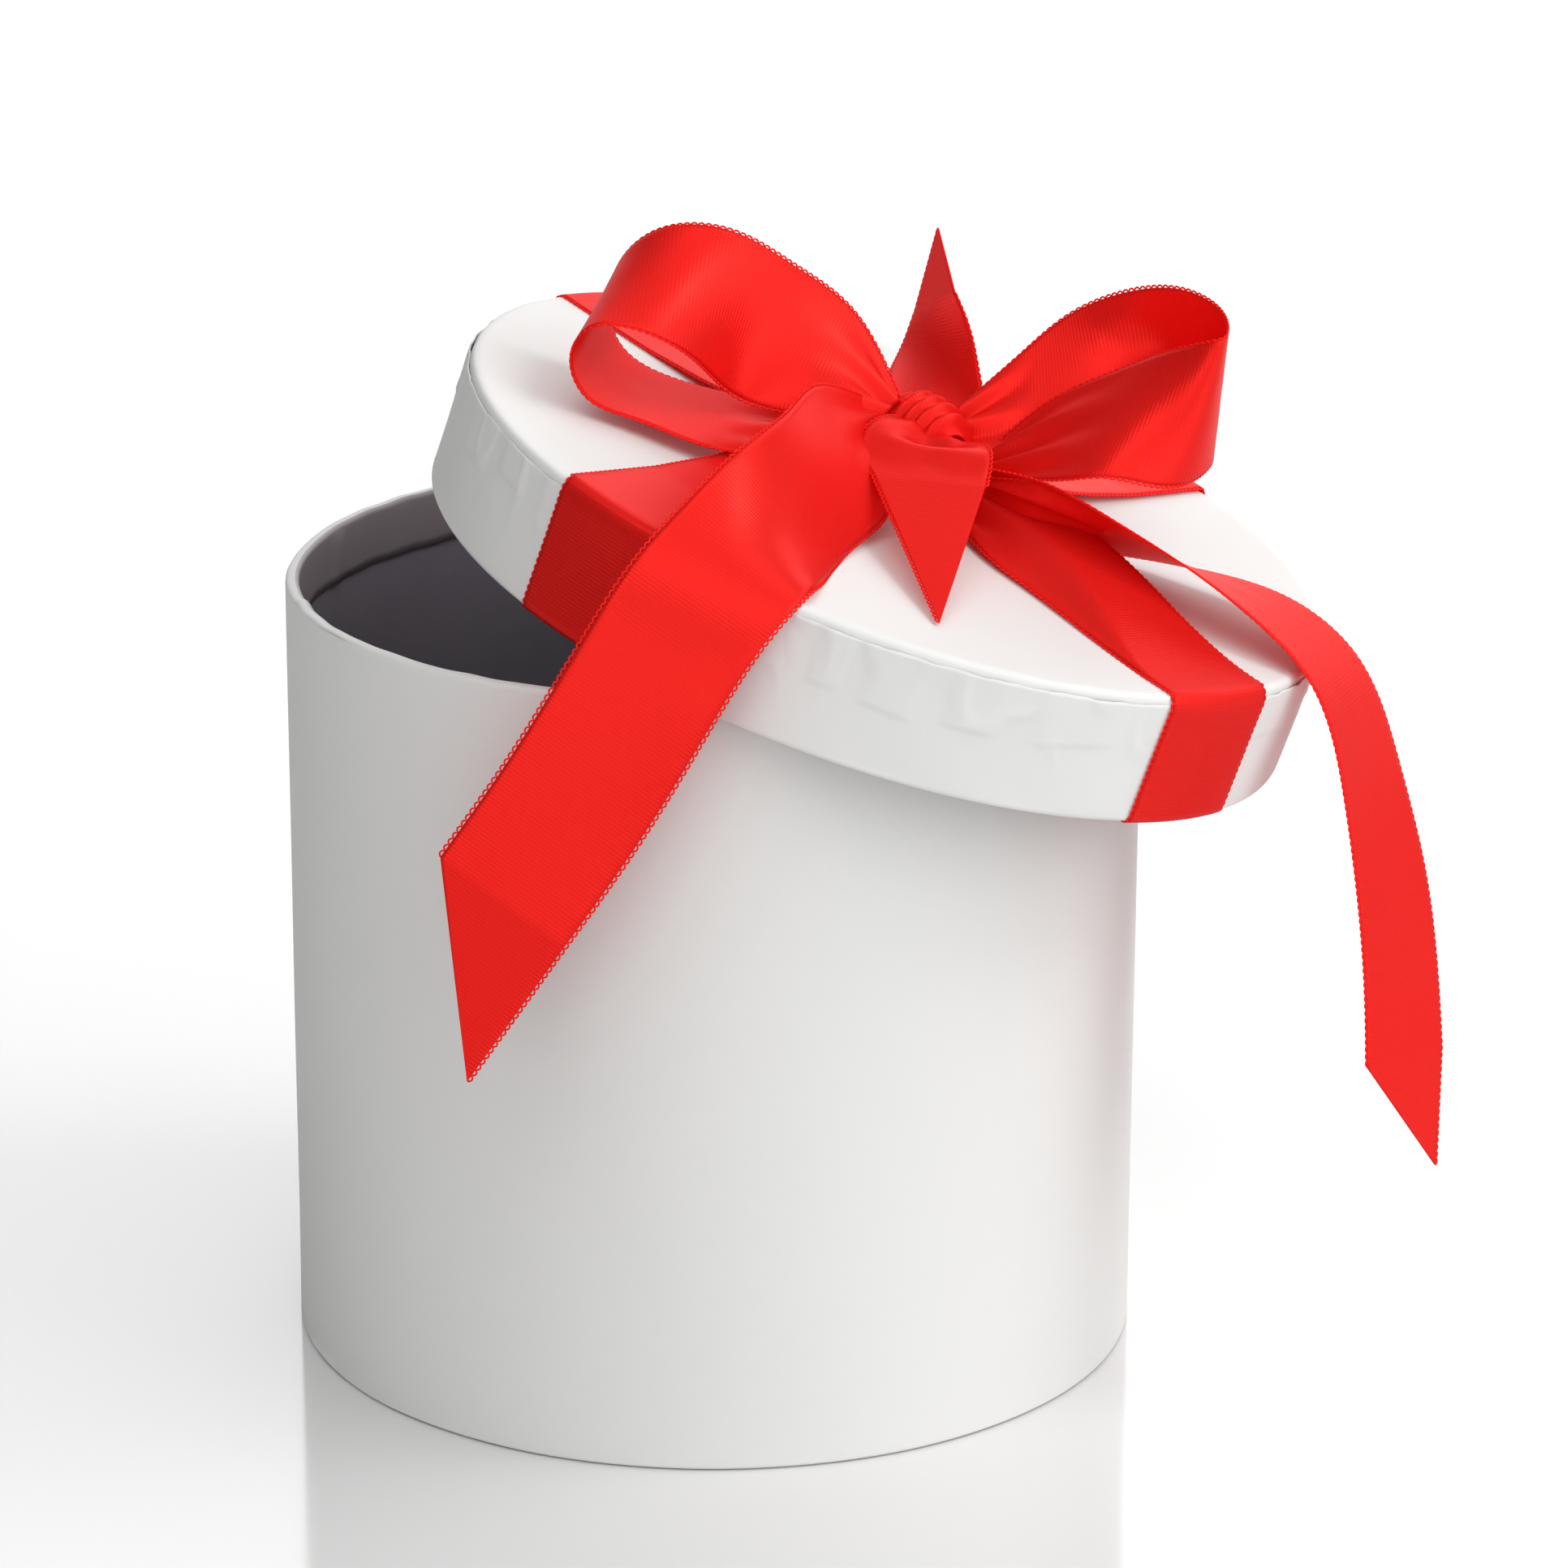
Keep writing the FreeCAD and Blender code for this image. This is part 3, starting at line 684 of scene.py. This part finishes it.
def strap(name, node, angle, lift, rise, fold):
    """A ribbon over the lid: from inside the skirt, under and up it, over the rim, to the knot.

    lift keeps it over the other strap, and rise is how far the knot draws its middle up. fold
    raises a slanting crease on the arm on the far side from angle, where the knot pulls it askew.
    """
    turn = math.radians(angle)
    outwards = np.array([math.cos(turn), math.sin(turn), 0])
    sideways = np.array([-math.sin(turn), math.cos(turn), 0])
    OUT = LID_RADIUS + STRAP_CLEAR
    IN = LID_RADIUS - SKIRT_THICK - STRAP_CLEAR
    low = -LID_HEIGHT
    half = [
        (IN, low + 13), (IN, low + 6), (IN, low + 0.6), (IN + 0.4, low - 0.3),
        (OUT - 0.5, low - 0.3), (OUT, low + 0.6), (OUT, low + 8), (OUT, low + 16),
        (OUT + 0.08, -2.0), (OUT - 0.12, -0.95), (OUT - 0.75, -0.02), (OUT - 1.8, 0.34),
        (LID_RADIUS - 4, 0.32), (LID_RADIUS - 10, 0.32), (LID_RADIUS - 24, 0.4),
        (LID_RADIUS - 38, 0.7 + 0.2 * rise), (LID_RADIUS - 52, 1.2 + 0.55 * rise),
        (12, 2 + rise), (4, 2.6 + rise),
    ]
    profile = half + [(-reach, up) for reach, up in reversed(half)]
    points = [outwards * reach + [0, 0, up + (lift if up > -1 else 0)] for reach, up in profile]
    points = np.array(points)
    travel = travelled(points)
    places = np.arange(0, travel[-1], STRAP_STEP)
    line = resampled(points, travel, places)
    for _ in range(2):
        line[1:-1] = (line[:-2] + 2 * line[1:-1] + line[2:]) / 4
    reach = line @ outwards
    share = np.linspace(-1, 1, ACROSS)
    # towards the knot the ribbon narrows to half its width, in pleats
    centre = 1 - smoothstep(8, 34, np.abs(reach))
    width = RIBBON_WIDTH * (1 - 0.50 * centre)
    across = share[None, :] * (width / 2)[:, None]
    askew = (1 - smoothstep(30, 74, -reach)) * (reach < 0)
    if fold:
        sunk = askew * np.maximum(line[:, 2] - lift - 0.4, 0) * 0.7
        line = line - np.outer(sunk, [0, 0, 1])
        drawn_in = np.where(share > 0, share * 4.0, 0)
        across = across - drawn_in[None, :] * askew[:, None]
    grid = line[:, None] + sideways * across[..., None]
    # round the skirt the ribbon lies on a cylinder
    edge = np.linalg.norm(line[:, :2], axis=1)[:, None]
    on_skirt = smoothstep(LID_RADIUS - 2.6, LID_RADIUS - 0.6, edge)
    on_skirt = np.maximum(on_skirt, (line[:, 2] < -1.0)[:, None])
    from_axis = np.linalg.norm(grid[..., :2], axis=2)
    pull = 1 + on_skirt * (edge / np.maximum(from_axis, 1e-6) - 1)
    grid[..., :2] = grid[..., :2] * pull[..., None]
    grid[..., 2] += np.cos(share[None, :] * 2.2 * math.pi + 0.8) * (1.8 * centre ** 1.2)[:, None]
    if fold:
        crease = -1.0 + 1.15 * askew
        from_crease = (1 - share[None, :]) / np.maximum(crease[:, None] + 1, 0.05)
        slack = (fold * askew)[:, None] * (1 - 0.6 * centre)[:, None]
        grid[..., 2] += smoothstep(0, 1, from_crease) * slack
    uv_across = share * RIBBON_WIDTH / 2
    uv = np.stack(np.broadcast_arrays(uv_across[None, :], places[:, None]), 2)
    piece = satin_strip(name, grid, uv, len(grid), len(grid))
    declare(piece, [node], places[-1], "stretched", ["lid_top_paper", "lid_band_paper"])


strap("ribbon_strap_lower", "strap_a", STRAP_ANGLES[0], lift=0.0, rise=2.6, fold=6.0)
strap("ribbon_strap_upper", "strap_b", STRAP_ANGLES[1], lift=0.45, rise=3.4, fold=0.0)


# --- papers and boards -------------------------------------------------------------------------


def rough(points, scale, seed):
    """Smooth noise at each point, about -0.5 to 0.5; scale is the size of its features."""
    flat = points.reshape(-1, 3) / scale + seed
    return np.array([noise.noise(Vector(p)) for p in flat]).reshape(points.shape[:-1])


def cylindrical(radius, turn, height):
    """The points at that radius, turn and height, each of which may vary over the grid."""
    return np.stack(np.broadcast_arrays(radius * np.cos(turn), radius * np.sin(turn), height), 2)


def turned_sheet(name, outline, step, rows, relief, material, place):
    """A thin paper shell turned round Z. outline is its middle as (radius, height) corners, in mm.

    relief(turn, radius, height) gives how far the paper stands out from its middle, and how far
    it is shifted up. place maps mm to the object's frame.
    """
    outline = np.array(outline, float)
    lengths = travelled(outline)
    travel = np.linspace(0, lengths[-1], int(lengths[-1] / step) + 2)
    travel = np.unique(np.round(np.concatenate([travel, lengths]), 4))
    line = resampled(outline, lengths, travel)
    along = unit(np.gradient(line, axis=0))
    normal = np.stack([along[:, 1], -along[:, 0]], 1)
    turn = (np.arange(rows) * 2 * math.pi / rows)[:, None]
    radius, height = line[None, :, 0] + 0 * turn, line[None, :, 1] + 0 * turn
    out, up = relief(turn, radius, height)
    radius = radius + normal[None, :, 0] * out
    height = height + normal[None, :, 1] * out + up
    uv = np.stack(np.broadcast_arrays(turn * BOX_RADIUS, travel[None, :]), 2)
    grid = cylindrical(radius, turn, height)
    return thick_sheet(name, place(grid), uv, PAPER * MM, material, wrap=True)


def rounded(corner, before, after, radius, steps=5):
    """A corner of an outline eased by a curve that starts and ends radius away from it."""
    corner, before, after = (np.array(p, float) for p in (corner, before, after))
    start = corner + unit(before - corner) * radius
    end = corner + unit(after - corner) * radius
    share = np.linspace(0, 1, steps)[:, None]
    curve = start * (1 - share) ** 2 + corner * 2 * share * (1 - share) + end * share ** 2
    return [tuple(p) for p in curve]


TABS = 30
TAB_RELIEF = 0.22
TAB_DEPTH = 9.5
PINCH_TURN = math.radians(-94)
PINCH_HEIGHT = 0.5
UNDER_STRAP = 0.12


def wander(index, pace, seed):
    """Smooth noise from one tab to the next."""
    return noise.noise(Vector((index * pace, seed, 0)))


def tab_edges():
    """The top paper's cut tabs: for each, where it starts round the skirt, its depth and slope."""
    made = []
    for index in range(TABS):
        start = 2 * math.pi * (index + 0.75 * wander(index, pace=1.7, seed=3.1)) / TABS
        depth = TAB_DEPTH + 5.0 * wander(index, pace=2.3, seed=9.4)
        slope = 5.0 * wander(index, pace=1.1, seed=5.9)
        made.append((start, depth, slope))
    return made


def band_relief(turn, radius, height):
    """The skirt's paper follows the tabs under it, and has creases where the glue pulled it."""
    full_turn = 2 * math.pi
    outside = radius > LID_RADIUS - 1.0
    out = np.zeros(radius.shape)
    edges = tab_edges()
    for index, (start, depth, slope) in enumerate(edges):
        end = edges[(index + 1) % TABS][0] + (full_turn if index == TABS - 1 else 0)
        share = (turn - start) % full_turn / ((end - start) % full_turn)
        taper = (0.10 + 0.10 * np.clip(-height / depth, 0, 1)) * 0.5
        inside = smoothstep(0, 0.2, share - taper) * (1 - smoothstep(0.8, 1.0, share + taper))
        low = -(depth + slope * (share - 0.5))
        edge = inside * (share < 1) * smoothstep(-0.25, 0.25, height - low)
        out = out + TAB_RELIEF * edge
    place = cylindrical(LID_RADIUS, turn, height)
    from_pinch = LID_RADIUS * ((turn - PINCH_TURN + math.pi) % full_turn - math.pi)
    fan = np.cos(2.6 * np.arctan2(-height, from_pinch + 0.01))
    out = out + PINCH_HEIGHT * fan * np.exp(-np.hypot(from_pinch, height) / 5.0)
    crease = 1 - np.abs(rough(place * np.array([1, 1, 0.45]), 9.0, 2.0)) * 9
    out = out + 0.22 * np.clip(crease, 0, 1) * smoothstep(-20, -6, height)
    out = out + 0.20 * rough(place, 14.0, 7.0)
    for angle in STRAP_ANGLES:
        # a strap runs up the skirt at its angle and down it on the other side
        off = np.abs((turn - math.radians(angle) + math.pi / 2) % math.pi - math.pi / 2)
        clear = smoothstep(math.radians(9.8), math.radians(12.5), off)
        out = out * (UNDER_STRAP + (1 - UNDER_STRAP) * clear)
    out = np.where(outside, out, 0) * smoothstep(-23.4, -22.0, height)
    up = np.where(outside & (height > -1.6), 0.35 * rough(place, 3.0, 4.0), 0)
    return out, up


def top_relief(turn, radius, height):
    """The lid's top paper: slow waves in the middle and finer ones near the rim."""
    place = cylindrical(radius, turn, height)
    out = 0.22 * rough(place, 30.0, 1.0) * smoothstep(77.5, 70, radius)
    out = out + 0.10 * rough(place, 6.0, 8.0) * smoothstep(60, 76, radius)
    return out, np.zeros(radius.shape)


LAP = (1.60, 1.78)
LAP_EDGE = 0.003
KINK_TURN = math.radians(208)
TUCKS = [(math.radians(angle), lean)
         for angle, lean in ((20, 0.02), (95, -0.02), (167, 0.035), (250, 0.02), (310, -0.03))]


def cover_relief(turn, radius, height):
    """The box's paper: faint waves, a lap at the back, a rim with one kink, a tucked turn-in."""
    outside = radius > BOX_RADIUS - 0.5
    inside = radius < BOX_RADIUS - 1.8
    place = cylindrical(BOX_RADIUS, turn, height * 0.6)
    out = np.where(outside, 0.16 * rough(place, 26.0, 0.0), 0)
    lap = smoothstep(LAP[0], LAP[0] + LAP_EDGE, turn)
    lap = lap * (1 - smoothstep(LAP[1], LAP[1] + LAP_EDGE, turn))
    out = out - np.where(outside, 0.06 - 0.16 * lap, 0)
    kink = np.exp(-(((turn - KINK_TURN) / 0.03) ** 2))
    rim = height > BOX_HEIGHT - 3
    up = np.where(rim, 0.25 * rough(place, 7.0, 5.0) + 0.6 * kink + 0.08, 0)
    tuck = 0
    for start, lean in TUCKS:
        off = turn - start - lean * (BOX_HEIGHT - height) / 10
        tuck = tuck + smoothstep(0, 0.012, off) * (1 - smoothstep(0.05, 0.075, off))
    turned_in = inside & (height < BOX_HEIGHT - 1.5)
    out = out + np.where(turned_in, 0.22 * tuck + 0.08 * rough(place, 5.0, 6.0), 0)
    edge = inside & (height < BOX_HEIGHT - 8)
    up = up + np.where(edge, 0.6 * rough(place, 6.0, 3.0), 0)
    return out, up


def make_papers():
    """The three wrapping papers, each a thin shell with its folds."""
    half = PAPER / 2
    out = LID_RADIUS - 1.5 * PAPER
    top = [(0.01, -half), (30, -half), (out - 3, -half)]
    top += rounded((out, -half), (0, -half), (out, -10), radius=1.3)
    top += [(out, -12)]
    top_paper = turned_sheet(
        "paper_lid_top", top[::-1], step=1.2, rows=480, relief=top_relief, material=PAPER_WHITE,
        place=from_lid)
    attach(top_paper, "lid")
    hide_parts("lid_top_paper")
    out = LID_RADIUS - half
    fold_in = LID_RADIUS - 2.5 * PAPER - LID_BAND_BOARD
    low = -LID_HEIGHT + half
    band = [(out, -1.5), (out, low + 0.8)]
    band += rounded((out, low), (out, 0), (0, low), radius=0.7, steps=4)
    band += rounded((fold_in, low), (LID_RADIUS, low), (fold_in, 0), radius=0.5, steps=4)
    band += [(fold_in, low + 10)]
    band_paper = turned_sheet(
        "paper_lid_band", band[::-1], step=0.56, rows=720, relief=band_relief,
        material=PAPER_WHITE, place=from_lid)
    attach(band_paper, "lid")
    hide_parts("lid_band_paper")
    out = BOX_RADIUS - half
    fold_in = BOX_RADIUS - 2.5 * PAPER - BOX_BOARD + half
    high = BOX_HEIGHT - half
    foot = 1.5 * PAPER
    cover = [(BOX_RADIUS - 10, foot)]
    cover += rounded((out, foot), (0, foot), (out, 10), radius=0.4, steps=3)
    cover += rounded((out, high), (out, 0), (0, high), radius=0.9)
    cover += rounded((fold_in, high), (BOX_RADIUS, high), (fold_in, 0), radius=0.8)
    cover += [(fold_in, high - 10)]
    cover_paper = turned_sheet(
        "paper_box_cover", cover, step=1.7, rows=400, relief=cover_relief, material=PAPER_COVER,
        place=from_box)
    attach(cover_paper, "box")
    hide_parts("box_cover_paper")


make_papers()

# the liners inside the box and the lid get the white paper with painted shade
for node, material in (
    ("box_wall", BOARD_INSIDE), ("box_base", BOARD_BASE), ("box_base_paper", PAPER_WHITE),
    ("box_floor_liner", PAPER_SHADED), ("lid_panel", BOARD_BASE), ("lid_band", BOARD_INSIDE),
    ("lid_liner", PAPER_SHADED),
):
    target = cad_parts[node]
    if not target.data.materials:
        target.data.materials.append(material)
    for slot in target.material_slots:
        slot.material = material


# --- floor, light and camera -------------------------------------------------------------------

FLOOR_REACH = 6.0

# the soft light from each side: its direction, the cosines from it where the light starts and is
# full, and its strength
STUDIO = (
    ((0.3, 0.3, 1), 0.3, 0.95, 0.40),
    ((0.92, -0.4, 0.40), 0.1, 0.95, 0.58),
    ((0.0, 0.95, 0.15), 0.66, 0.96, 1.5),
    ((0.9, -0.13, 0.3), 0.90, 0.98, 2.0),
    ((-0.09, -0.47, 0.88), 0.92, 0.985, 1.8),
    ((0.4, -1, 0.3), 0.3, 0.95, 0.50),
    ((-0.08, -1, 0.08), 0.88, 0.97, 1.2),
    ((0, 0, 1), -1.0, -0.99, 0.09),
)
WHITE = (1, 1, 1, 1)

CAMERA_PLACE = (0.21186, -1.03662, 0.45089)
CAMERA_FORWARD = (-0.17926, 0.93170, -0.31590)
CAMERA_UP = (-0.06345, 0.30949, 0.94878)
CAMERA_LENS = 144.69
CAMERA_SENSOR = 36


def make_floor():
    square = ((-1, -1), (1, -1), (1, 1), (-1, 1))
    corners = [(x * FLOOR_REACH, y * FLOOR_REACH, 0) for x, y in square]
    uv = [(0, 0), (1, 0), (1, 1), (0, 1)]
    floor = new_object("studio_floor", corners, [(0, 1, 2, 3)], uv, floor_material(), smooth=False)


def make_world():
    """A soft studio round the box: bright overhead and on the right, dim on the left.

    The camera sees it as plain white.
    """
    world = bpy.data.worlds.new("studio")
    bpy.context.scene.world = world
    world.use_nodes = True
    tree = world.node_tree
    tree.nodes.clear()
    add, link = tree.nodes.new, tree.links.new
    coords = add("ShaderNodeTexCoord")
    total = None
    for direction, low, high, strength in STUDIO:
        dot = add("ShaderNodeVectorMath")
        dot.operation = "DOT_PRODUCT"
        link(coords.outputs["Generated"], dot.inputs[0])
        dot.inputs[1].default_value = Vector(direction).normalized()
        span = add("ShaderNodeMapRange")
        span.interpolation_type = "SMOOTHSTEP"
        link(dot.outputs["Value"], span.inputs["Value"])
        span.inputs["From Min"].default_value = low
        span.inputs["From Max"].default_value = high
        span.inputs["To Min"].default_value = 0.0
        span.inputs["To Max"].default_value = strength
        if total is None:
            total = span.outputs["Result"]
        else:
            both = add("ShaderNodeMath")
            link(total, both.inputs[0])
            link(span.outputs["Result"], both.inputs[1])
            total = both.outputs[0]
    light, plain = add("ShaderNodeBackground"), add("ShaderNodeBackground")
    light.inputs["Color"].default_value = WHITE
    plain.inputs["Color"].default_value = WHITE
    link(total, light.inputs["Strength"])
    mix = add("ShaderNodeMixShader")
    link(add("ShaderNodeLightPath").outputs["Is Camera Ray"], mix.inputs[0])
    link(light.outputs[0], mix.inputs[1])
    link(plain.outputs[0], mix.inputs[2])
    link(mix.outputs[0], add("ShaderNodeOutputWorld").inputs["Surface"])


def area_light(name, place, aim, size, energy):
    lamp = bpy.data.lights.new(name, "AREA")
    lamp.shape = "DISK"
    lamp.size = size
    lamp.energy = energy
    holder = bpy.data.objects.new(name, lamp)
    holder.location = place
    towards = Vector(aim) - Vector(place)
    holder.rotation_euler = towards.to_track_quat("-Z", "Y").to_euler()
    bpy.context.scene.collection.objects.link(holder)


def make_camera():
    camera = bpy.data.cameras.new("camera")
    camera.lens = CAMERA_LENS
    camera.sensor_width = CAMERA_SENSOR
    holder = bpy.data.objects.new("camera", camera)
    forward = Vector(CAMERA_FORWARD)
    right = forward.cross(Vector(CAMERA_UP)).normalized()
    upward = right.cross(forward).normalized()
    holder.matrix_world = Matrix((right, upward, -forward)).transposed().to_4x4()
    holder.location = CAMERA_PLACE
    bpy.context.scene.collection.objects.link(holder)
    bpy.context.scene.camera = holder


make_floor()
make_world()
area_light("key", place=(0.9, 0.1, 1.1), aim=(0, 0, 0.1), size=0.5, energy=4)
make_camera()
bpy.context.scene.view_settings.view_transform = "Standard"
